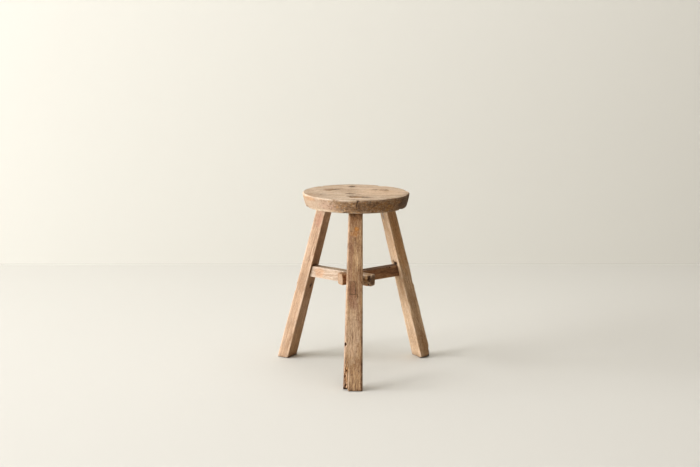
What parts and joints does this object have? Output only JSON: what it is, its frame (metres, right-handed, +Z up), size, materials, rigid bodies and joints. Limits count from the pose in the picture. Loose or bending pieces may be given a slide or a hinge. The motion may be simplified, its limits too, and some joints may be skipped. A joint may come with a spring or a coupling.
{
  "type": "wooden milking stool",
  "caption": "Low round-topped wooden stool on splayed legs, with through tenons and stretchers that cross in a lap joint under the seat.",
  "frame": {"origin": "middle of the base of the bounding box, on the floor under the stool", "axes": "+Z up; the front leg points along -Y; the left leg is towards -X and the right leg towards +X, both to the back"},
  "size_m": [0.4386, 0.3854, 0.49],
  "materials": {
    "seat_wood": "weathered, bare, grey-brown end grain and worn arrises",
    "leg_wood": "bare aged wood, matte, rubbed arrises",
    "stretcher_wood": "bare aged wood, matte",
    "wedge_wood": "dark end grain, bare"
  },
  "bodies": {
    "root": {"seat": "seat_wood", "leg_left": "leg_wood", "leg_right": "leg_wood", "leg_front": "leg_wood", "stretcher_left": "stretcher_wood", "stretcher_right": "stretcher_wood", "stretcher_front": "stretcher_wood", "wedge_left": "wedge_wood", "wedge_right": "wedge_wood", "wedge_front": "wedge_wood"}
  },
  "joints": []
}
